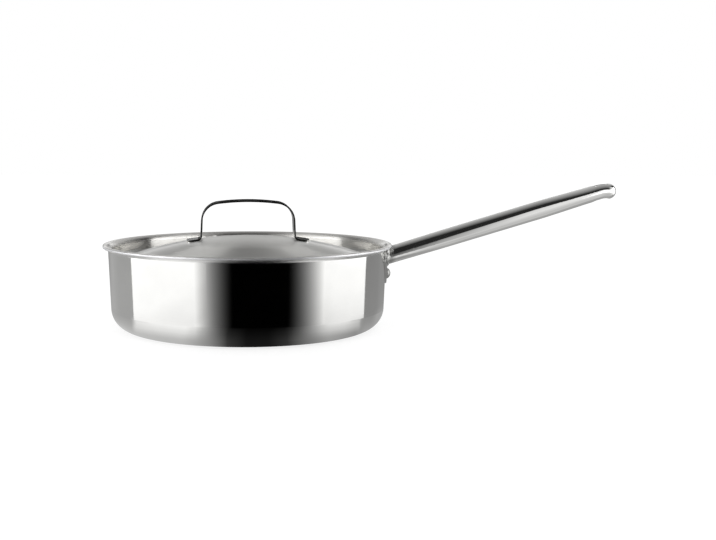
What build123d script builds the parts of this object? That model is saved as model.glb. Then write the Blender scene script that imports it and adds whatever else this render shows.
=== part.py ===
from build123d import *
from math import asin, cos, radians, sin, sqrt, tan
import os

# Saute pan of clad sheet with a riveted tubular handle and a domed lid that drops inside its brim.
# Millimetres. The origin is the centre of the base, +Z is up and the handle points along +X.

# Clad sheet of the pan, from outside to inside
outer_skin_thickness = 0.5
core_thickness = 1.8
inner_skin_thickness = 0.5
wall = outer_skin_thickness + core_thickness + inner_skin_thickness

# Pan
pan_bore = 240.0                  # inside diameter at the brim
pan_height = 75.0
wall_draft = 2.13                 # degrees that the wall leans outwards
base_corner_radius = 19.2         # outside radius between base and wall
lip_fillet_radius = 2.2           # outside radius under the flared lip
lip_reach = 4.8                   # how far the lip stands out from the wall

# Handle bracket, a curved triangular plate with three rivets
bracket_sheet_thickness = 1.5
bracket_edge_radius = 0.5
bracket_lip_gap = 0.4             # between the plate's top edge and the fillet under the lip
upper_corner_radius = 5.5         # plate radius round each upper rivet
lower_corner_radius = 9.0         # plate radius round the lower rivet
upper_rivet_offset = 22.0
rivet_weld_gap = 1.6              # from the tube's weld down to the lower rivet's head
rivet_shank_diameter = 5.0
rivet_head_diameter = 9.2
rivet_head_height = 3.4
rivet_rim_height = 0.8            # upright edge of a head, under its dome
rivet_seat_depth = 0.2            # how far a head is upset onto the curve of the plate
sink_diameter = 8.6               # countersunk inner end, flush with the wall so that the lid passes
sink_angle = 90.0

# Tubular handle
tube_sheet_thickness = 1.3
tube_root_diameter = 15.1         # diameter where the tube meets the plate
tube_grip_diameter = 16.0
tip_width = 20.0
tip_height = 14.0
tube_root_drop = 5.7              # from the plate's top edge down to the tube's centre line
tube_rise = 17.0                  # degrees
straight_length = 194.0
bend_radius = 25.0
tip_length = 8.3                  # from the end of the bend to the tip
weld_leg_length = 1.6
lip_clearance = 0.4               # from the coped tube to the lip
slot_length = 15.0
slot_width = 8.0
slot_from_tip = 13.5              # from the tip to the slot's centre
slot_round_radius = 0.9

# Lid
lid_sheet_thickness = 0.9
lid_turn = 4.4                    # degrees that the lid's handle is turned from the pan's
lid_depth = 11.0                  # from the top of the lip down to the lid's flange
seat_clearance = 0.3
dome_radius = 333.0
dome_rise = 17.1                  # from the flange up to the middle of the dome
dome_setback = 0.24               # from the foot of the gutter's inner side in to where the dome starts
gutter_depth = 3.4                # below the flange
gutter_width = 2.2
flange_width = 3.2
gutter_round_radius = 1.2
lid_edge_radius = 0.4

# Strap handle on the lid
strap_width = 24.0
strap_sheet_thickness = 1.5
strap_span = 81.8                 # across the outsides of the legs, at the top
strap_height = 32.3               # of the middle of the strap over the middle of the dome
strap_crown_radius = 210.0        # radius of its slightly arched top
strap_corner_radius = 17.0
strap_splay = 2.3                 # degrees
foot_reach = 54.4                 # from the middle of the lid to the end of a foot
foot_bend_radius = 2.6
foot_corner_radius = 5.0          # corner radius of a foot, from above
foot_seat_depth = 0.15            # how far a foot is pressed onto the curve of the dome
strap_edge_radius = 0.5

overrun = 2.0                     # how far a cutting shape runs past what it cuts

# Where the handle's sections stand, as shares of its straight run, its bend and its tip
taper_share = 0.24
grip_share = 0.7
flatten_shares = (0, 0.25, 0.5, 0.75, 1)
bend_shares = (0, 0.5, 1)
tip_shares = (0, 0.2, 0.4, 0.6, 0.75, 0.87, 0.95, 0.99)
tip_fullness = 2.5

lean = radians(wall_draft)
lip_under = pan_height - wall
flare_height = lip_under - lip_fillet_radius
brim_radius = pan_bore / 2 + wall
lip_radius = brim_radius + lip_reach
flare_centre = (brim_radius + lip_fillet_radius / cos(lean), flare_height)
corner_centre = (
    brim_radius + ((base_corner_radius - flare_height) * sin(lean) - base_corner_radius) / cos(lean),
    base_corner_radius,
)


def wall_radius(height, depth=0):
    """Radius of the wall at a height, a depth in from its outside."""
    return brim_radius + (height - flare_height) * tan(lean) - depth / cos(lean)


def edge_reach(depth):
    """Radius at which a depth of the sheet ends on the round edge of the lip."""
    half = wall / 2
    return lip_radius - half + sqrt(half**2 - (depth - half) ** 2)


def draw_depth(depth):
    """Half section of one face of the sheet, from the middle of the base to the lip."""
    corner_radius = base_corner_radius - depth
    flare_radius = lip_fillet_radius + depth
    base = Line((0, depth), (corner_centre[0], depth))
    corner = CenterArc(corner_centre, corner_radius, -90, 90 - wall_draft)
    flare = CenterArc(flare_centre, flare_radius, 180 - wall_draft, wall_draft - 90)
    Line(corner @ 1, flare @ 0)
    lip = Line(flare @ 1, (edge_reach(depth), lip_under + depth))
    return base @ 0, lip @ 1


def draw_layer(near, far):
    """Closed half section of one layer of the sheet, between two depths."""
    near_axis, near_edge = draw_depth(near)
    far_axis, far_edge = draw_depth(far)
    Line(near_axis, far_axis)
    RadiusArc(near_edge, far_edge, -wall / 2)


def draw_wall_band(near, far, low, high):
    """Closed half section of a band that follows the wall between two heights."""
    Polyline(
        (wall_radius(low, near), low),
        (wall_radius(low, far), low),
        (wall_radius(high, far), high),
        (wall_radius(high, near), high),
        close=True,
    )


def wall_plane(offset, height):
    """Plane on the outside of the wall, facing out, at a sideways offset."""
    turn = asin(offset / wall_radius(height))
    radius = wall_radius(height)
    return Plane(
        origin=(radius * cos(turn), radius * sin(turn), height),
        x_dir=(-sin(turn), cos(turn), 0),
        z_dir=(cos(lean) * cos(turn), cos(lean) * sin(turn), -sin(lean)),
    )


# Rivet places round the tube's weld, and the plane of each hole
bracket_top = flare_height - bracket_lip_gap
upper_rivet_height = bracket_top - upper_corner_radius
tube_root_height = bracket_top - tube_root_drop
weld_bottom = tube_root_height - tube_root_diameter / 2 / cos(radians(tube_rise)) - weld_leg_length
lower_rivet_height = weld_bottom - rivet_weld_gap - rivet_head_diameter / 2
rivet_planes = [
    wall_plane(-upper_rivet_offset, upper_rivet_height),
    wall_plane(upper_rivet_offset, upper_rivet_height),
    wall_plane(0, lower_rivet_height),
]
sink_planes = [Plane(hole.origin - hole.z_dir * wall, hole.x_dir, -hole.z_dir) for hole in rivet_planes]

# Outer skin of the pan, down to the table
with BuildPart() as pan_outer_skin:
    with BuildSketch(Plane.XZ):
        with BuildLine():
            draw_layer(0, outer_skin_thickness)
        make_face()
    revolve(axis=Axis.Z)
    with Locations(*sink_planes):
        CounterSinkHole(rivet_shank_diameter / 2, sink_diameter / 2, wall + overrun, sink_angle)

# Heat-spreading core, which runs up the wall and shows only as a line on the lip's edge
with BuildPart() as pan_core:
    with BuildSketch(Plane.XZ):
        with BuildLine():
            draw_layer(outer_skin_thickness, outer_skin_thickness + core_thickness)
        make_face()
    revolve(axis=Axis.Z)
    with Locations(*sink_planes):
        CounterSinkHole(rivet_shank_diameter / 2, sink_diameter / 2, wall + overrun, sink_angle)

# Inner skin, the cooking surface
with BuildPart() as pan_inner_skin:
    with BuildSketch(Plane.XZ):
        with BuildLine():
            draw_layer(outer_skin_thickness + core_thickness, wall)
        make_face()
    revolve(axis=Axis.Z)
    with Locations(*sink_planes):
        CounterSinkHole(rivet_shank_diameter / 2, sink_diameter / 2, wall + overrun, sink_angle)

# Bracket, pressed to the curve of the wall
bracket_low = lower_rivet_height - lower_corner_radius - overrun
with BuildPart() as handle_bracket:
    with BuildSketch(Plane.XZ):
        with BuildLine():
            draw_wall_band(0, -bracket_sheet_thickness, bracket_low, flare_height)
        make_face()
    revolve(axis=Axis.Z)
    with BuildSketch(Plane.YZ):
        with Locations((-upper_rivet_offset, upper_rivet_height), (upper_rivet_offset, upper_rivet_height)):
            Circle(upper_corner_radius)
        with Locations((0, lower_rivet_height)):
            Circle(lower_corner_radius)
        make_hull()
    extrude(amount=lip_radius + overrun, mode=Mode.INTERSECT)
    outer_face = handle_bracket.faces().sort_by(Axis.X)[-1]
    fillet(outer_face.edges(), bracket_edge_radius)
    with Locations(*rivet_planes):
        Hole(rivet_shank_diameter / 2)

# Three identical rivets, domed outside on the plate and countersunk flush inside the wall
with BuildPart() as handle_rivets:
    sink_depth = (sink_diameter - rivet_shank_diameter) / 2 / tan(radians(sink_angle / 2))
    for hole in rivet_planes:
        with BuildSketch(Plane(hole.origin, hole.x_dir, -hole.y_dir)):
            with BuildLine():
                dome = TangentArc(
                    (0, bracket_sheet_thickness + rivet_head_height),
                    (rivet_head_diameter / 2, bracket_sheet_thickness + rivet_rim_height),
                    tangent=(1, 0),
                )
                Polyline(
                    dome @ 1,
                    (rivet_head_diameter / 2, bracket_sheet_thickness - rivet_seat_depth),
                    (rivet_shank_diameter / 2, bracket_sheet_thickness - rivet_seat_depth),
                    (rivet_shank_diameter / 2, sink_depth - wall),
                    (sink_diameter / 2, -wall),
                    (sink_diameter / 2, -wall - overrun),
                    (0, -wall - overrun),
                    dome @ 0,
                )
            make_face()
        revolve(axis=Axis(hole.origin, hole.z_dir))
    add(handle_bracket.part, mode=Mode.SUBTRACT)
    with BuildSketch(Plane.XZ):
        with BuildLine():
            draw_wall_band(wall, wall + 2 * overrun, lower_rivet_height - sink_diameter, pan_height)
        make_face()
    revolve(axis=Axis.Z, mode=Mode.SUBTRACT)

# Centre line of the tubular handle: a straight run, a bend to level, and the tip
rise = radians(tube_rise)
bend_run = bend_radius * rise
tube_start = Vector(wall_radius(tube_root_height, -bracket_sheet_thickness), 0, tube_root_height)
bend_start = tube_start + Vector(cos(rise), 0, sin(rise)) * straight_length
bend_middle = bend_start + Vector(sin(rise), 0, -cos(rise)) * bend_radius
tip_start = bend_middle + Vector(0, 0, bend_radius)
slot_place = (tip_start.X + tip_length - slot_from_tip, 0)
above_handle = tip_start.Z + tip_height


def tube_plane(run):
    """Plane square to the handle's centre line, a run out from the plate."""
    angle = rise - min(max(run - straight_length, 0), bend_run) / bend_radius
    heading = Vector(cos(angle), 0, sin(angle))
    if run <= straight_length:
        origin = tube_start + heading * run
    elif run <= straight_length + bend_run:
        origin = bend_middle + Vector(-sin(angle), 0, cos(angle)) * bend_radius
    else:
        origin = tip_start + heading * (run - straight_length - bend_run)
    return Plane(origin=origin, x_dir=(0, 1, 0), z_dir=heading)


def tube_pieces(skin):
    """Sections of grip, flattening, bend and tip, a skin's thickness inside the outside."""
    grip = [
        (-weld_leg_length - overrun, tube_root_diameter, tube_root_diameter),
        (taper_share * straight_length, tube_grip_diameter, tube_grip_diameter),
        (grip_share * straight_length, tube_grip_diameter, tube_grip_diameter),
    ]
    flattening = []
    for share in flatten_shares:
        ease = share**2 * (3 - 2 * share)
        run = (grip_share + share * (1 - grip_share)) * straight_length
        width = tube_grip_diameter + ease * (tip_width - tube_grip_diameter)
        height = tube_grip_diameter + ease * (tip_height - tube_grip_diameter)
        flattening.append((run, width, height))
    bend = [(straight_length + share * bend_run, tip_width, tip_height) for share in bend_shares]
    pieces = [
        [(run, width - 2 * skin, height - 2 * skin) for run, width, height in piece]
        for piece in (grip, flattening, bend)
    ]
    tip = []
    for share in tip_shares:
        narrowing = sqrt(1 - share**tip_fullness)
        run = straight_length + bend_run + share * (tip_length - skin)
        tip.append((run, (tip_width - 2 * skin) * narrowing, (tip_height - 2 * skin) * narrowing))
    return pieces + [tip]


# Hollow inside the tube, which leaves a collar of sheet round the hanging slot
with BuildPart() as tube_hollow:
    for piece in tube_pieces(tube_sheet_thickness):
        for run, width, height in piece:
            with BuildSketch(tube_plane(run)):
                Ellipse(width / 2, height / 2)
        loft(ruled=piece[0][0] < 0)
    with BuildSketch():
        with Locations(slot_place):
            SlotOverall(slot_length + 2 * tube_sheet_thickness, slot_width + 2 * tube_sheet_thickness)
    extrude(amount=above_handle, mode=Mode.SUBTRACT)

# Tubular handle, welded to the plate, coped under the lip, swaged to a closed oval tip
with BuildPart() as handle_tube:
    for piece in tube_pieces(0):
        for run, width, height in piece:
            with BuildSketch(tube_plane(run)):
                Ellipse(width / 2, height / 2)
        loft(ruled=piece[0][0] < 0)
    with BuildSketch():
        with Locations(slot_place):
            SlotOverall(slot_length, slot_width)
    extrude(amount=above_handle, mode=Mode.SUBTRACT)
    # The slot's rims are sorted, because the rounding comes out the same only in a fixed order
    slot_walls = handle_tube.faces(Select.LAST).filter_by(GeomType.BSPLINE, reverse=True)
    slot_rims = slot_walls.edges().filter_by(GeomType.LINE, reverse=True)
    fillet(slot_rims.sort_by(Axis.Y).sort_by(Axis.X).sort_by(Axis.Z), slot_round_radius)
    weld_back = weld_leg_length / 2
    weld_foot = weld_leg_length + weld_back
    with BuildSketch(Plane.YZ.offset(tube_start.X - weld_back)):
        with Locations((0, tube_start.Z - weld_back * tan(rise))):
            Ellipse(tube_root_diameter / 2 + weld_foot, tube_root_diameter / 2 / cos(rise) + weld_foot)
    with BuildSketch(Plane.YZ.offset(tube_start.X + weld_leg_length)):
        with Locations((0, tube_start.Z + weld_leg_length * tan(rise))):
            Ellipse(tube_root_diameter / 2, tube_root_diameter / 2 / cos(rise))
    loft(ruled=True)
    add(tube_hollow.part, mode=Mode.SUBTRACT)
    with BuildSketch(Plane.XZ):
        with BuildLine():
            Polyline(
                (0, 0),
                (wall_radius(0, -bracket_sheet_thickness), 0),
                (wall_radius(pan_height, -bracket_sheet_thickness), pan_height),
                (0, pan_height),
                close=True,
            )
        make_face()
    revolve(axis=Axis.Z, mode=Mode.SUBTRACT)
    cope_low = lip_under - lip_clearance
    cope_reach = lip_radius + lip_clearance
    with BuildSketch(Plane.XZ):
        with BuildLine():
            Polyline(
                (0, cope_low),
                (cope_reach, cope_low),
                (cope_reach, pan_height),
                (0, pan_height),
                close=True,
            )
        make_face()
    revolve(axis=Axis.Z, mode=Mode.SUBTRACT)

# Lid: one domed sheet, with a gutter and a flat flange that seats against the leaning wall
flange_height = pan_height - lid_depth
dome_top = flange_height + dome_rise
gutter_height = flange_height - gutter_depth
lid_radius = wall_radius(flange_height - lid_sheet_thickness, wall) - seat_clearance / cos(lean)
flange_start = lid_radius - flange_width
gutter_start = flange_start - 2 * gutter_round_radius
dome_reach = gutter_start - gutter_width - dome_setback


def dome_height(radius):
    """Height of the outside of the dome at a radius."""
    return dome_top - dome_radius + sqrt(dome_radius**2 - radius**2)


with BuildPart() as lid_shell:
    with BuildSketch(Plane.XZ):
        with BuildLine():
            dome_edge = (dome_reach, dome_height(dome_reach))
            RadiusArc((0, dome_top), dome_edge, dome_radius)
            FilletPolyline(
                dome_edge,
                (gutter_start - gutter_width, gutter_height),
                (gutter_start, gutter_height),
                (flange_start, flange_height),
                (lid_radius, flange_height),
                radius=gutter_round_radius,
            )
            offset(amount=lid_sheet_thickness, side=Side.RIGHT)
        make_face()
    revolve(axis=Axis.Z)
    flange_edge = lid_shell.faces().filter_by(GeomType.CYLINDER).sort_by(SortBy.RADIUS)[-1]
    fillet(flange_edge.edges().filter_by(GeomType.CIRCLE), lid_edge_radius)

# Strap handle, bent from one strip and spot-welded to the dome by its two feet
turn = radians(lid_turn)
strap_plane = Plane(origin=(0, 0, 0), x_dir=(cos(turn), sin(turn), 0), z_dir=(sin(turn), -cos(turn), 0))
strap_top = dome_top + strap_height
crown_drop = strap_crown_radius - sqrt(strap_crown_radius**2 - (strap_span / 2) ** 2)
shoulder = (strap_span / 2, strap_top - crown_drop)
foot_top = dome_height(foot_reach) + strap_sheet_thickness - foot_seat_depth
ankle_reach = strap_span / 2 + (shoulder[1] - foot_top) * tan(radians(strap_splay))
ankle = (ankle_reach, dome_height(ankle_reach) + strap_sheet_thickness - foot_seat_depth)
toe = (foot_reach, foot_top)
with BuildPart() as lid_handle:
    with BuildSketch(strap_plane):
        with BuildLine() as strap_line:
            Polyline(toe, ankle, shoulder)
            RadiusArc(shoulder, (-shoulder[0], shoulder[1]), -strap_crown_radius)
            Polyline((-shoulder[0], shoulder[1]), (-ankle[0], ankle[1]), (-toe[0], toe[1]))
            fillet(strap_line.vertices().group_by(Axis.Y)[-1], strap_corner_radius)
            fillet(strap_line.vertices().group_by(Axis.Y)[1], foot_bend_radius)
            offset(amount=strap_sheet_thickness, side=Side.LEFT)
        make_face()
    extrude(amount=strap_width / 2, both=True)
    strap_sides = lid_handle.faces().filter_by(Axis((0, 0, 0), strap_plane.z_dir))
    fillet(strap_sides.edges(), strap_edge_radius)
    with BuildSketch(Plane(origin=(0, 0, 0), x_dir=strap_plane.x_dir)):
        RectangleRounded(2 * foot_reach, strap_width, foot_corner_radius)
    extrude(amount=strap_top + overrun, mode=Mode.INTERSECT)
    add(lid_shell.part, mode=Mode.SUBTRACT)

pan_outer_skin.part.label = "pan_outer_skin"
pan_core.part.label = "pan_core"
pan_inner_skin.part.label = "pan_inner_skin"
handle_bracket.part.label = "handle_bracket"
handle_rivets.part.label = "handle_rivets"
handle_tube.part.label = "handle_tube"
lid_shell.part.label = "lid_shell"
lid_handle.part.label = "lid_handle"

os.makedirs("parts", exist_ok=True)
export_step(pan_outer_skin.part, "parts/pan_outer_skin.step")
export_step(pan_core.part, "parts/pan_core.step")
export_step(pan_inner_skin.part, "parts/pan_inner_skin.step")
export_step(handle_bracket.part, "parts/handle_bracket.step")
export_step(handle_rivets.part, "parts/handle_rivets.step")
export_step(handle_tube.part, "parts/handle_tube.step")
export_step(lid_shell.part, "parts/lid_shell.step")
export_step(lid_handle.part, "parts/lid_handle.step")
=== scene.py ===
import math

import bpy
from mathutils import Euler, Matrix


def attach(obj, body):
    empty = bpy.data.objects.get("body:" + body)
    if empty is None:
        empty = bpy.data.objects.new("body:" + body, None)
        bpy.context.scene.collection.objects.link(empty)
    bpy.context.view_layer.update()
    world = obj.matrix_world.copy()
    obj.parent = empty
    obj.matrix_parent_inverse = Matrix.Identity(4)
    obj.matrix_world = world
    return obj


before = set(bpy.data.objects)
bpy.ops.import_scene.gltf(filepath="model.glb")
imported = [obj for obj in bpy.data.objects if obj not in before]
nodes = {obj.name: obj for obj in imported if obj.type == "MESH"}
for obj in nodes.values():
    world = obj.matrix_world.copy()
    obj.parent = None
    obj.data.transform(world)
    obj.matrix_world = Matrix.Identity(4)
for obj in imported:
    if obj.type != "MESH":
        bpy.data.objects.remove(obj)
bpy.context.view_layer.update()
print("frame loaded:", len(nodes), "nodes")

scene = bpy.context.scene
scene.view_settings.view_transform = "Standard"
plainWhite = (1, 1, 1, 1)


# small helpers for node trees

def startMaterial(name):
    mat = bpy.data.materials.new(name)
    mat.use_nodes = True
    tree = mat.node_tree
    tree.nodes.clear()
    return mat, tree


def addNode(tree, kind, inputs=None, **settings):
    node = tree.nodes.new(kind)
    for key, value in settings.items():
        setattr(node, key, value)
    for key, value in (inputs or {}).items():
        if isinstance(value, bpy.types.NodeSocket):
            tree.links.new(value, node.inputs[key])
        else:
            node.inputs[key].default_value = value
    return node


def addMath(tree, operation, first, second=0.0):
    return addNode(tree, "ShaderNodeMath", {0: first, 1: second}, operation=operation).outputs[0]


def addVector(tree, operation, first, second=(0, 0, 0), output="Vector"):
    return addNode(tree, "ShaderNodeVectorMath", {0: first, 1: second}, operation=operation).outputs[output]


def addScaled(tree, vector, scale):
    return addNode(tree, "ShaderNodeVectorMath", {0: vector, "Scale": scale}, operation="SCALE").outputs[0]


def addCoords(tree):
    return addNode(tree, "ShaderNodeTexCoord").outputs["Object"]


def addParts(tree, vector):
    return addNode(tree, "ShaderNodeSeparateXYZ", {0: vector}).outputs


def addRadius(tree, parts):
    flat = addNode(tree, "ShaderNodeCombineXYZ", {"X": parts[0], "Y": parts[1]}).outputs[0]
    return addVector(tree, "LENGTH", flat, output="Value")


def addDegrees(tree, first, second):
    return addMath(tree, "MULTIPLY", addMath(tree, "ARCTAN2", first, second), 180 / math.pi)


def addRange(tree, value, low, high, fromLow=0.0, fromHigh=1.0):
    sockets = {"Value": value, "From Min": fromLow, "From Max": fromHigh, "To Min": low, "To Max": high}
    return addNode(tree, "ShaderNodeMapRange", sockets).outputs[0]


def addMix(tree, factor, first, second):
    return addNode(tree, "ShaderNodeMix", {"Factor": factor, "A": first, "B": second}).outputs[0]


def addNoise(tree, place, scale, detail, roughness=0.5):
    sockets = {"Vector": place, "Scale": scale, "Detail": detail, "Roughness": roughness}
    return addNode(tree, "ShaderNodeTexNoise", sockets).outputs["Fac"]


def addStops(tree, value, stops):
    # tone by value, straight from stop to stop
    low, high = stops[0][0], stops[-1][0]
    ramp = addNode(tree, "ShaderNodeValToRGB", {"Fac": addRange(tree, value, 0.0, 1.0, low, high)})
    elements = ramp.color_ramp.elements
    elements.remove(elements[1])
    for place, tone in stops:
        share = (place - low) / (high - low)
        stop = elements.new(share) if share else elements[0]
        stop.color = (tone, tone, tone, 1)
    return ramp.outputs["Color"]


# steel and aluminium

plainSteel = {                       # what the finishes share, unless they say otherwise
    "round": False,                  # whether the grain runs in rings round the upright axis
    "turn": (0, 0, 0),               # of the grain
    "grainDetail": 3.0,
    "grainDepth": 0.0005,
    "patchScale": 28.0,              # of the soft patches in tone and roughness
    "patchDetail": 4.0,
    "patchShare": 0.4,               # of the roughness, the grain gives the rest
    "tint": (0.96, 1.03),            # darkest and lightest patch
    "dull": 0.0,                     # roughness added past dullFrom, places along dullAxis
    "dullTone": 1.0,
    "dullAxis": 2,
    "dullFrom": (0.0, 0.1),
    "paintedEdgeShade": 1.0,                 # painted dark reflection: tone further from the middle line than edgeFrom
    "edgeFrom": 1.0,
    "anisotropy": 0.0,
    "spread": 0.25,                  # turn of the anisotropy, a quarter is across the rings
}
tintFrom = (0.3, 0.7)                # part of the noise that the tint is spread over
roughnessFrom = (0.35, 0.65)         # and the roughness

wallSteel = dict(
    plainSteel,
    colour=(0.86, 0.858, 0.842),
    roughness=(0.035, 0.07),
    round=True,
    grainScale=(900.0, 1.0, 900.0),      # fine level lines left by polishing, rings on the base
    grainBump=0.012,
    dull=0.35,                           # the fillet under the lip is polished less
    dullFrom=(0.0695, 0.0715),
)
innerSteel = dict(
    plainSteel,
    colour=(0.8, 0.788, 0.76),
    roughness=(0.2, 0.24),
    round=True,
    grainScale=(1400.0, 1.0, 1400.0),
    grainBump=0.02,
    dull=0.06,
    dullTone=0.9,
    dullFrom=(0.0685, 0.071),
    anisotropy=1.0,                      # its rings spread the light up and down
)
tubeSteel = dict(
    plainSteel,
    colour=(0.86, 0.858, 0.842),
    roughness=(0.03, 0.06),
    grainScale=(25.0, 1500.0, 1500.0),   # lengthwise lines
    grainBump=0.012,
    turn=(0, math.radians(17), 0),
    dull=0.25,                           # the weld at the plate is duller and darker
    dullTone=0.55,
    dullAxis=0,
    dullFrom=(0.1315, 0.1275),
)
plateSteel = dict(
    plainSteel,
    colour=(0.52, 0.52, 0.51),
    roughness=(0.3, 0.4),
    grainScale=(900.0, 900.0, 60.0),
    grainBump=0.02,
)
rivetSteel = dict(
    plainSteel,
    colour=(0.38, 0.38, 0.37),
    roughness=(0.42, 0.54),
    grainScale=(700.0, 700.0, 700.0),
    grainBump=0.05,
)
strapSteel = dict(
    plainSteel,
    colour=(0.8, 0.8, 0.79),
    roughness=(0.03, 0.06),
    grainScale=(30.0, 1200.0, 1200.0),
    grainBump=0.006,
    turn=(0, 0, math.radians(-4.4)),
    paintedEdgeShade=0.09,                       # painted dark reflection: the edges are darker than the faces
    edgeFrom=0.0113,
)
coreAluminium = dict(
    plainSteel,
    colour=(0.78, 0.78, 0.79),
    roughness=(0.5, 0.64),
    grainScale=(200.0, 200.0, 1500.0),
    grainBump=0.05,
)
lidSteel = dict(
    plainSteel,
    colour=(0.672, 0.668, 0.648),
    roughness=(0.35, 0.4),
    ringScale=1300.0,                    # spun rings per metre of radius
    ringRoughness=0.7,
    grainDetail=4.0,
    grainBump=0.02,
    grainDepth=0.0004,
    patchScale=22.0,
    patchShare=0.5,
    tint=(0.95, 1.03),
    anisotropy=1.0,
    anisotropyFrom=(0.0, 0.06),          # radii over which it grows
)


def addPatches(tree, look, coords, grain):
    # tint and roughness
    patches = addNoise(tree, coords, look["patchScale"], look["patchDetail"])
    tint = addRange(tree, patches, *look["tint"], *tintFrom)
    fromGrain = addMath(tree, "MULTIPLY", grain, 1 - look["patchShare"])
    fromPatches = addMath(tree, "MULTIPLY", patches, look["patchShare"])
    mixed = addMath(tree, "ADD", fromGrain, fromPatches)
    return tint, addRange(tree, mixed, *look["roughness"], *roughnessFrom)


def addMetal(tree, look, tone, roughness, grain, anisotropy):
    bumpInputs = {"Height": grain, "Strength": look["grainBump"], "Distance": look["grainDepth"]}
    shader = addNode(tree, "ShaderNodeBsdfPrincipled", {
        "Base Color": addScaled(tree, look["colour"], tone),
        "Metallic": 1.0,
        "Roughness": roughness,
        "Anisotropic": anisotropy,
        "Anisotropic Rotation": look["spread"],
        "Normal": addNode(tree, "ShaderNodeBump", bumpInputs).outputs[0],
        "Tangent": addNode(tree, "ShaderNodeTangent", direction_type="RADIAL", axis="Z").outputs[0],
    })
    addNode(tree, "ShaderNodeOutputMaterial", {"Surface": shader.outputs[0]})


def makeSteel(name, look):
    mat, tree = startMaterial(name)
    coords = addCoords(tree)
    parts = addParts(tree, coords)
    duller = addRange(tree, parts[look["dullAxis"]], 0.0, 1.0, *look["dullFrom"])
    grainFrom = coords
    if look["round"]:
        ringCoords = {"X": addRadius(tree, parts), "Z": parts[2]}
        grainFrom = addNode(tree, "ShaderNodeCombineXYZ", ringCoords).outputs[0]
    grainInputs = {"Vector": grainFrom, "Rotation": look["turn"], "Scale": look["grainScale"]}
    grainPlace = addNode(tree, "ShaderNodeMapping", grainInputs).outputs[0]
    grain = addNoise(tree, grainPlace, 1.0, look["grainDetail"])
    tint, roughness = addPatches(tree, look, coords, grain)
    roughness = addMath(tree, "ADD", roughness, addMath(tree, "MULTIPLY", duller, look["dull"]))

    # painted dark reflection on the edges, and darker dull places
    squared = addNode(tree, "ShaderNodeMapping", {"Vector": coords, "Rotation": look["turn"]}).outputs[0]
    across = addMath(tree, "ABSOLUTE", addParts(tree, squared)[1])
    edge = addMath(tree, "GREATER_THAN", across, look["edgeFrom"])
    # edge tone is a painted dark reflection, not a colour of the steel
    paintedEdgeShade = addRange(tree, edge, 1.0, look["paintedEdgeShade"])
    darker = addMath(tree, "MULTIPLY", paintedEdgeShade, addRange(tree, duller, 1.0, look["dullTone"]))
    addMetal(tree, look, addMath(tree, "MULTIPLY", tint, darker), roughness, grain, look["anisotropy"])
    return mat


def makeSpunSteel(name, look):
    mat, tree = startMaterial(name)
    coords = addCoords(tree)
    radius = addRadius(tree, addParts(tree, coords))
    ringPlace = addNode(tree, "ShaderNodeCombineXYZ", {"X": addMath(tree, "MULTIPLY", radius, look["ringScale"])})
    rings = addNoise(tree, ringPlace.outputs[0], 1.0, look["grainDetail"], look["ringRoughness"])
    tint, roughness = addPatches(tree, look, coords, rings)
    anisotropy = addRange(tree, radius, 0.0, look["anisotropy"], *look["anisotropyFrom"])
    addMetal(tree, look, tint, roughness, rings, anisotropy)
    return mat


finishes = {
    "pan_outer_skin": makeSteel("mirrorSteel", wallSteel),
    "pan_core": makeSteel("coreAluminium", coreAluminium),
    "pan_inner_skin": makeSteel("innerSteel", innerSteel),
    "handle_bracket": makeSteel("plateSteel", plateSteel),
    "handle_rivets": makeSteel("rivetSteel", rivetSteel),
    "handle_tube": makeSteel("tubeSteel", tubeSteel),
    "lid_shell": makeSpunSteel("spunSteel", lidSteel),
    "lid_handle": makeSteel("strapSteel", strapSteel),
}
for name, mat in finishes.items():
    for slot in nodes[name].material_slots:
        slot.material = mat
print("materials:", len(finishes))


# ripples of the weld, round the foot of the tube

weldLook = {
    "middle": (0.12487, 0.0, 0.06415),    # of the bead
    "halfWidth": 0.00832,
    "halfHeight": 0.00866,
    "plateRadius": 0.1241,                # curve of the plate that the bead lies on
    "lean": math.tan(math.radians(2.13)),
    "pathSteps": 128,
    "count": 60,
    "length": 0.00092,                    # of one ripple, along the bead
    "width": 0.0019,                      # and across it
    "height": 0.00017,                    # over the bead
    "smallest": 0.9,                      # share of these sizes that a ripple has
    "largest": 1.15,
    "segments": 16,                       # of a ripple's mesh
    "rings": 8,
    "reach": 0.002,                       # how far from the path the bead's face is looked for
    "facing": 0.93,                       # ripples go only where the bead's face is whole
    "seed": 7,
}
weldSteel = dict(plateSteel, colour=(0.5, 0.5, 0.49), roughness=(0.22, 0.34))


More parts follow.
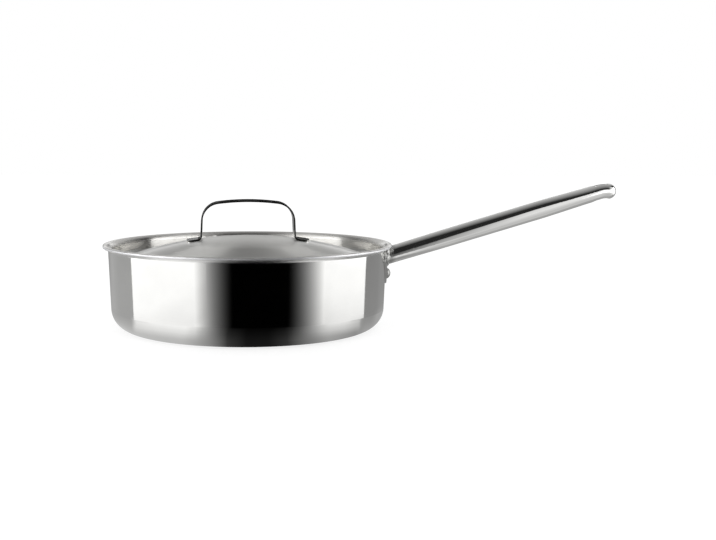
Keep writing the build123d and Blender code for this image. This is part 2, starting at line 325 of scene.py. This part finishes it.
def makeRipples(look, mat):
    tree = bpy.data.node_groups.new("weldRipples", "GeometryNodeTree")
    tree.is_modifier = True
    tree.interface.new_socket("Geometry", in_out="OUTPUT", socket_type="NodeSocketGeometry")
    labels = {
        "Half width": ("Float", look["halfWidth"]),
        "Half height": ("Float", look["halfHeight"]),
        "Plate radius": ("Float", look["plateRadius"]),
        "Lean": ("Float", look["lean"]),
        "Ripple length": ("Float", look["length"]),
        "Ripple width": ("Float", look["width"]),
        "Ripple height": ("Float", look["height"]),
        "Smallest": ("Float", look["smallest"]),
        "Largest": ("Float", look["largest"]),
        "Reach": ("Float", look["reach"]),
        "Facing": ("Float", look["facing"]),
        "Middle": ("Vector", look["middle"]),
        "Weld": ("Object", nodes["handle_tube"]),
        "Path steps": ("Int", look["pathSteps"]),
        "Count": ("Int", look["count"]),
        "Seed": ("Int", look["seed"]),
    }
    sizes = {}
    for label, (kind, value) in labels.items():
        socket = tree.interface.new_socket(label, in_out="INPUT", socket_type="NodeSocket" + kind)
        sizes[socket.identifier] = value
    given = tree.nodes.new("NodeGroupInput").outputs

    # an ellipse on the curved, leaning plate
    circleInputs = {"Resolution": given["Path steps"], "Radius": 1.0}
    circle = addNode(tree, "GeometryNodeCurvePrimitiveCircle", circleInputs).outputs["Curve"]
    place = addParts(tree, addNode(tree, "GeometryNodeInputPosition").outputs[0])
    across = addMath(tree, "MULTIPLY", place[0], given["Half width"])
    up = addMath(tree, "MULTIPLY", place[1], given["Half height"])
    twoRadii = addMath(tree, "MULTIPLY", given["Plate radius"], 2.0)
    sag = addMath(tree, "DIVIDE", addMath(tree, "MULTIPLY", across, across), twoRadii)
    out = addMath(tree, "SUBTRACT", addMath(tree, "MULTIPLY", up, given["Lean"]), sag)
    spot = addNode(tree, "ShaderNodeCombineXYZ", {"X": out, "Y": across, "Z": up}).outputs[0]
    moved = addVector(tree, "ADD", spot, given["Middle"])
    path = addNode(tree, "GeometryNodeSetPosition", {"Geometry": circle, "Position": moved}).outputs[0]
    pointInputs = {"Curve": path, "Count": given["Count"]}
    points = addNode(tree, "GeometryNodeCurveToPoints", pointInputs, mode="COUNT").outputs

    # the bead's face is looked for from a little outside
    here = addNode(tree, "GeometryNodeInputPosition").outputs[0]
    away = addVector(tree, "NORMALIZE", addVector(tree, "SUBTRACT", here, given["Middle"]))
    outward = addVector(tree, "NORMALIZE", addVector(tree, "ADD", away, (1.0, 0.0, 0.0)))
    above = addVector(tree, "ADD", here, addScaled(tree, outward, given["Reach"]))
    weld = addNode(tree, "GeometryNodeObjectInfo", {"Object": given["Weld"]}, transform_space="RELATIVE")
    touch = addNode(tree, "GeometryNodeRaycast", {
        "Target Geometry": weld.outputs["Geometry"],
        "Source Position": above,
        "Ray Direction": addScaled(tree, outward, -1.0),
        "Ray Length": addMath(tree, "MULTIPLY", given["Reach"], 2.0),
    }).outputs
    square = addVector(tree, "DOT_PRODUCT", touch["Hit Normal"], outward, "Value")
    facing = addMath(tree, "GREATER_THAN", square, given["Facing"])
    whole = addMath(tree, "MULTIPLY", touch["Is Hit"], facing)
    missing = addMath(tree, "LESS_THAN", whole, 0.5)
    missingInputs = {"Geometry": points["Points"], "Selection": missing}
    kept = addNode(tree, "GeometryNodeDeleteGeometry", missingInputs).outputs[0]
    keptInputs = {"Geometry": kept, "Position": touch["Hit Position"]}
    kept = addNode(tree, "GeometryNodeSetPosition", keptInputs).outputs[0]

    # each ripple lies on that face, across the bead's run
    upright = addNode(tree, "FunctionNodeAlignRotationToVector", {"Vector": outward}, axis="Z").outputs[0]
    turnInputs = {"Rotation": upright, "Vector": points["Tangent"]}
    turned = addNode(tree, "FunctionNodeAlignRotationToVector", turnInputs, axis="X", pivot_axis="Z").outputs[0]
    ballInputs = {"Segments": look["segments"], "Rings": look["rings"], "Radius": 1.0}
    ball = addNode(tree, "GeometryNodeMeshUVSphere", ballInputs).outputs["Mesh"]
    half = [addMath(tree, "DIVIDE", given[label], 2.0) for label in ("Ripple length", "Ripple width")]
    shapeInputs = {"X": half[0], "Y": half[1], "Z": given["Ripple height"]}
    shape = addNode(tree, "ShaderNodeCombineXYZ", shapeInputs).outputs[0]
    ripple = addNode(tree, "GeometryNodeTransform", {"Geometry": ball, "Scale": shape}).outputs[0]
    varyInputs = {2: given["Smallest"], 3: given["Largest"], "Seed": given["Seed"]}
    vary = addNode(tree, "FunctionNodeRandomValue", varyInputs, data_type="FLOAT").outputs[1]
    ripples = addNode(tree, "GeometryNodeInstanceOnPoints", {
        "Points": kept, "Instance": ripple, "Rotation": turned, "Scale": vary,
    }).outputs[0]
    solid = addNode(tree, "GeometryNodeRealizeInstances", {"Geometry": ripples}).outputs[0]
    smooth = addNode(tree, "GeometryNodeSetShadeSmooth", {"Geometry": solid}).outputs[0]
    done = addNode(tree, "GeometryNodeSetMaterial", {"Geometry": smooth, "Material": mat}).outputs[0]
    addNode(tree, "NodeGroupOutput", {0: done})

    holder = bpy.data.objects.new("weld_ripples", bpy.data.meshes.new("weldStart"))
    scene.collection.objects.link(holder)
    modifier = holder.modifiers.new("ripples", "NODES")
    modifier.node_group = tree
    for identifier, value in sizes.items():
        modifier[identifier] = value
    bpy.context.view_layer.update()
    evaluated = holder.evaluated_get(bpy.context.evaluated_depsgraph_get())
    made = bpy.data.meshes.new_from_object(evaluated)
    holder.modifiers.remove(modifier)
    holder.data = made
    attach(holder, "pan")
    return len(made.polygons)


print("weld ripples:", makeRipples(weldLook, makeSteel("weldSteel", weldSteel)), "faces")


# what stands round the steel

def makeSheet(name, corners, faces, mat):
    mesh = bpy.data.meshes.new(name)
    mesh.from_pydata(corners, [], faces)
    mesh.materials.append(mat)
    sheet = bpy.data.objects.new(name, mesh)
    scene.collection.objects.link(sheet)
    return sheet


def showToSteelOnly(sheet):
    sheet.visible_camera = False
    sheet.visible_diffuse = False
    sheet.visible_transmission = False
    sheet.visible_shadow = False


def addGlow(tree, strength):
    return addNode(tree, "ShaderNodeEmission", {"Color": plainWhite, "Strength": strength}).outputs[0]


def addFade(tree, clear, glow):
    # see-through where clear is 1
    gap = addNode(tree, "ShaderNodeBsdfTransparent").outputs[0]
    both = addNode(tree, "ShaderNodeMixShader", {0: clear, 1: glow, 2: gap}).outputs[0]
    addNode(tree, "ShaderNodeOutputMaterial", {"Surface": both})


# floor and world

floorLook = {"size": 8.0, "glow": 0.8, "colour": 0.26}
roomLook = {
    # tone below the horizon by height of view in degrees
    "low": [(-90, 0.5), (-72, 0.55), (-57, 0.62), (-43, 0.8), (-30, 0.95), (-13, 1.17), (0, 1.17)],
    # share of it by direction in degrees, from the front towards the handle
    "around": [
        (-180, 0.47), (-130, 0.36), (-90, 0.335), (-88, 1.0), (-43, 1.0), (-25, 0.75), (40, 0.75), (60, 1.0),
        (98, 1.0), (99.5, 0.05), (106, 0.05), (109, 0.22), (140, 0.24), (165, 0.33), (180, 0.47),
    ],
    "aroundFades": (-85, -25),    # height of view over which that share comes in, going up
    # tone above the horizon, over the top from the front (0) to the back (180)
    "over": [
        (0, 0.95), (36, 0.9), (46, 0.035), (58, 0.03), (66, 0.07), (72, 0.12), (80, 0.18), (90, 0.25), (105, 0.33),
        (120, 0.42), (135, 0.5), (152, 0.6), (166, 0.66), (172.2, 1.2), (174.2, 1.2), (175.6, 0.06), (180, 0.03),
    ],
    # tone high up to the left and right, by direction in degrees
    "beside": [
        (-180, 0.75), (-152, 0.75), (-138, 0.16), (-110, 0.12), (-99, 0.8), (99, 0.8), (107, 0.0), (126, 0.0),
        (134, 0.12), (142, 0.16), (152, 0.75), (180, 0.75),
    ],
    "besideFrom": (15, 35),       # degrees to the side over which it takes over
    "besideHigh": (10, 28),       # height of view over which it takes over from the directions round about
    # dimmer part of the low back, by direction in degrees from the back towards the handle
    "dimBack": [(-5.6, 1.0), (-4.6, 0.15), (-0.8, 0.15), (0.6, 1.0)],
    "dimHigh": (7, 12),
    "horizon": (-1.0, 9.0),       # height of view over which above takes over from below
    "horizonBack": 10.0,          # degrees by which that is lower at the back
    "horizonBackFrom": (0.0, 0.3),
}


def makeFloor(look):
    half, tone = look["size"] / 2, look["colour"]
    mat, tree = startMaterial("paleFloor")
    diffuse = addNode(tree, "ShaderNodeBsdfDiffuse", {"Color": (tone, tone, tone, 1)}).outputs[0]
    both = addNode(tree, "ShaderNodeAddShader", {0: diffuse, 1: addGlow(tree, look["glow"])}).outputs[0]
    addNode(tree, "ShaderNodeOutputMaterial", {"Surface": both})
    corners = [(-half, -half, 0), (half, -half, 0), (half, half, 0), (-half, half, 0)]
    floor = makeSheet("floor", corners, [(0, 1, 2, 3)], mat)
    floor.visible_glossy = False
    floor.visible_diffuse = False


def makeWorld(look):
    world = bpy.data.worlds.new("whiteRoom")
    world.use_nodes = True
    tree = world.node_tree
    tree.nodes.clear()
    side, back, up = addParts(tree, addNode(tree, "ShaderNodeTexCoord").outputs["Generated"])
    front = addMath(tree, "MULTIPLY", back, -1.0)
    fromFront = addDegrees(tree, side, front)
    height = addMath(tree, "MULTIPLY", addMath(tree, "ARCSINE", up), 180 / math.pi)

    # below the horizon
    around = addStops(tree, fromFront, look["around"])
    steep = addRange(tree, height, 1.0, 0.0, *look["aroundFades"])
    below = addMath(tree, "MULTIPLY", addStops(tree, height, look["low"]), addMix(tree, steep, around, 1.0))

    # above it, to the front and the back
    over = addStops(tree, addDegrees(tree, addMath(tree, "MAXIMUM", up, 0.0), front), look["over"])
    dim = addStops(tree, addDegrees(tree, side, back), look["dimBack"])
    lowBack = addRange(tree, height, 1.0, 0.0, *look["dimHigh"])
    over = addMath(tree, "MULTIPLY", over, addMix(tree, lowBack, 1.0, dim))

    # and to the sides
    sideways = addMath(tree, "ARCSINE", addMath(tree, "ABSOLUTE", side))
    toSide = addRange(tree, addMath(tree, "MULTIPLY", sideways, 180 / math.pi), 0.0, 1.0, *look["besideFrom"])
    high = addRange(tree, height, 0.0, 1.0, *look["besideHigh"])
    beside = addMix(tree, high, around, addStops(tree, fromFront, look["beside"]))
    above = addMix(tree, toSide, over, beside)

    behind = addRange(tree, back, 0.0, look["horizonBack"], *look["horizonBackFrom"])
    rise = addRange(tree, addMath(tree, "ADD", height, behind), 0.0, 1.0, *look["horizon"])
    room = {"Color": plainWhite, "Strength": addMix(tree, rise, below, above)}
    toned = addNode(tree, "ShaderNodeBackground", room).outputs[0]
    white = addNode(tree, "ShaderNodeBackground", {"Color": plainWhite, "Strength": 1.0}).outputs[0]
    glossy = addNode(tree, "ShaderNodeLightPath").outputs["Is Glossy Ray"]
    mixed = addNode(tree, "ShaderNodeMixShader", {0: glossy, 1: white, 2: toned}).outputs[0]
    addNode(tree, "ShaderNodeOutputWorld", {"Surface": mixed})
    scene.world = world


makeWorld(roomLook)
makeFloor(floorLook)
print("world and floor")


# black flag in front, which only the steel sees

flagLook = {
    "distance": 0.2,
    "low": -0.06,
    "high": 0.46,
    "reach": 1.2,
    "tones": (0.0, 0.02),         # of its lower and upper part
    "fanFrom": (0.003, -0.061),   # the point that its edges fan out from
    "leftEdge": (-38.7, -8.2),    # degrees over which it fades in
    "rightEdge": (33.0, 64.8),
    "topFade": (0.38, 0.46),
    "slope": 1.2,                 # rise of the slanted edge that takes over on the right, higher up
    "slopeFrom": -0.125,
    "slopeHeights": (0.058, 0.08),
    "slopeSoft": (0.035, 0.006),  # half the width over which it fades, near the pan and far from it
    "softReach": (0.17, 0.25),
    "clearing": 2.2,              # the higher, the wider the black part of a fade
}


def makeFlag(look):
    mat, tree = startMaterial("blackCloth")
    across, along, height = addParts(tree, addCoords(tree))
    middle, ahead = look["fanFrom"]
    turn = addDegrees(
        tree, addMath(tree, "SUBTRACT", across, middle), addMath(tree, "SUBTRACT", ahead, along)
    )
    left = addRange(tree, turn, 0.0, 1.0, *look["leftEdge"])
    soft = addRange(tree, turn, 1.0, 0.0, *look["rightEdge"])

    # the slanted edge
    rising = addMath(tree, "ADD", addMath(tree, "MULTIPLY", across, look["slope"]), look["slopeFrom"])
    soften = addRange(tree, across, *look["slopeSoft"], *look["softReach"])
    over = addMath(tree, "DIVIDE", addMath(tree, "SUBTRACT", height, rising), soften)
    hard = addRange(tree, over, 0.0, 1.0, -1.0, 1.0)
    upper = addRange(tree, height, 0.0, 1.0, *look["slopeHeights"])
    right = addMath(tree, "MAXIMUM", addMix(tree, upper, soft, hard), soft)

    top = addRange(tree, height, 1.0, 0.0, *look["topFade"])
    black = addMath(tree, "MULTIPLY", addMath(tree, "MULTIPLY", left, right), top)
    clear = addMath(tree, "POWER", addMath(tree, "SUBTRACT", 1.0, black), look["clearing"])
    addFade(tree, clear, addGlow(tree, addRange(tree, upper, *look["tones"])))

    far, low, high, reach = -look["distance"], look["low"], look["high"], look["reach"]
    corners = [(-reach, far, low), (reach, far, low), (reach, far, high), (-reach, far, high)]
    card = makeSheet("frontFlag", corners, [(0, 1, 2, 3)], mat)
    showToSteelOnly(card)


makeFlag(flagLook)
print("front flag")


# ring of floor round the base, which only the steel sees

ringLook = {
    "inner": 0.09,
    "outer": 0.21,
    "height": -0.0005,
    "fade": (0.16, 0.208),
    "segments": 96,
    # tone by place on the wall in degrees, from the front towards the handle, far from the base and at it
    "far": [
        (-180, 0.4), (-52, 0.39), (-50, 0.65), (-48.6, 1.04), (-36, 1.14), (-21, 1.17), (-16.9, 0.97),
        (-13.8, 0.56), (-10.7, 0.26), (-7.7, 0.08), (-4.7, 0.005), (-3, 0.0), (17, 0.0), (20, 0.016),
        (23.2, 0.09), (26.5, 0.27), (29.9, 0.54), (33.4, 0.86), (36.5, 0.97), (40, 0.99), (45, 0.98),
        (50, 0.88), (54.6, 0.74), (56.4, 0.36), (59, 0.29), (67, 0.28), (75, 0.4), (180, 0.4),
    ],
    "near": [
        (-180, 0.5), (-61, 0.6), (-48, 0.54), (-22, 0.51), (-11.5, 0.3), (-4, 0.04), (3, 0.009), (11, 0.01),
        (18.4, 0.036), (26.5, 0.19), (36, 0.34), (44, 0.3), (52, 0.26), (60, 0.37), (180, 0.5),
    ],
    # how much of the far tone shows, by distance from the middle
    "between": [
        (0.106, 0.0), (0.116, 0.1), (0.1215, 0.27), (0.131, 0.52), (0.149, 0.7), (0.165, 0.8), (0.19, 0.9),
        (0.21, 0.95),
    ],
    # the place on the wall that a direction belongs to, as a share of it by distance from the middle
    "fan": [
        (0.105, 0.83), (0.116, 0.885), (0.122, 0.875), (0.131, 0.85), (0.149, 0.79), (0.17, 0.725),
        (0.19, 0.68), (0.21, 0.66),
    ],
    "fanTurn": 1.2,
}


def makeRing(look):
    mat, tree = startMaterial("ringTones")
    parts = addParts(tree, addCoords(tree))
    radius = addRadius(tree, parts)
    turn = addDegrees(tree, parts[0], addMath(tree, "MULTIPLY", parts[1], -1.0))
    turned = addMath(tree, "ADD", turn, look["fanTurn"])
    place = addMath(tree, "MULTIPLY", turned, addStops(tree, radius, look["fan"]))
    near = addStops(tree, place, look["near"])
    far = addStops(tree, place, look["far"])
    tone = addMix(tree, addStops(tree, radius, look["between"]), near, far)
    addFade(tree, addRange(tree, radius, 0.0, 1.0, *look["fade"]), addGlow(tree, tone))

    corners, faces = [], []
    count = look["segments"]
    for step in range(count):
        angle = 2 * math.pi * step / count
        for reach in (look["inner"], look["outer"]):
            corners.append((reach * math.sin(angle), -reach * math.cos(angle), look["height"]))
        here, following = 2 * step, 2 * ((step + 1) % count)
        faces.append((here, here + 1, following + 1, following))
    ring = makeSheet("floorRing", corners, faces, mat)
    showToSteelOnly(ring)


makeRing(ringLook)
print("floor ring")


# white cards to the left and right, which only the steel sees

cardLook = {
    "low": -0.14,
    "high": 0.4,
    # corners from the back to the front, and tone by height
    "left": {
        "line": [(-0.64, 0.076), (-0.64, -0.3), (-0.4, -0.75)],
        "glow": [
            (-0.14, 0.95), (-0.112, 1.04), (-0.098, 1.08), (-0.085, 1.16), (-0.03, 1.2), (0.03, 1.7),
            (0.14, 2.9),
        ],
    },
    "right": {
        "line": [(0.65, 0.19), (0.65, -0.3), (0.45, -0.75)],
        "glow": [
            (-0.14, 0.78), (-0.12, 0.87), (-0.098, 0.96), (-0.09, 1.0), (-0.077, 1.06), (-0.06, 1.13),
            (-0.03, 1.17), (0.03, 1.8), (0.14, 2.9),
        ],
    },
}


def makeCard(name, look, low, high):
    mat, tree = startMaterial(name)
    tone = addStops(tree, addParts(tree, addCoords(tree))[2], look["glow"])
    addNode(tree, "ShaderNodeOutputMaterial", {"Surface": addGlow(tree, tone)})

    line = look["line"]
    corners = [(out, along, low) for out, along in line] + [(out, along, high) for out, along in line]
    count = len(line)
    faces = [(step, step + 1, count + step + 1, count + step) for step in range(count - 1)]
    card = makeSheet(name, corners, faces, mat)
    showToSteelOnly(card)


for side in ("left", "right"):
    makeCard(side + "Card", cardLook[side], cardLook["low"], cardLook["high"])
print("side cards")


# camera, at the photograph's angle

cameraLook = {
    "place": (0.0517, -1.0055, 0.168),
    "pitch": 6.39,                  # degrees down from level
    "roll": -0.13,
    "focalPixels": 1135.0,
    "frameWidth": 716.0,
    "shiftPixels": (51.6, -5.1),
    "sensorWidth": 36.0,
}


def makeCamera(look):
    camera = bpy.data.cameras.new("camera")
    camera.sensor_fit = "HORIZONTAL"
    camera.sensor_width = look["sensorWidth"]
    camera.lens = look["sensorWidth"] * look["focalPixels"] / look["frameWidth"]
    camera.shift_x, camera.shift_y = (pixels / look["frameWidth"] for pixels in look["shiftPixels"])
    holder = bpy.data.objects.new("camera", camera)
    scene.collection.objects.link(holder)
    holder.location = look["place"]
    holder.rotation_euler = Euler((math.radians(90 - look["pitch"]), math.radians(look["roll"]), 0))
    scene.camera = holder


makeCamera(cameraLook)
print("camera set")
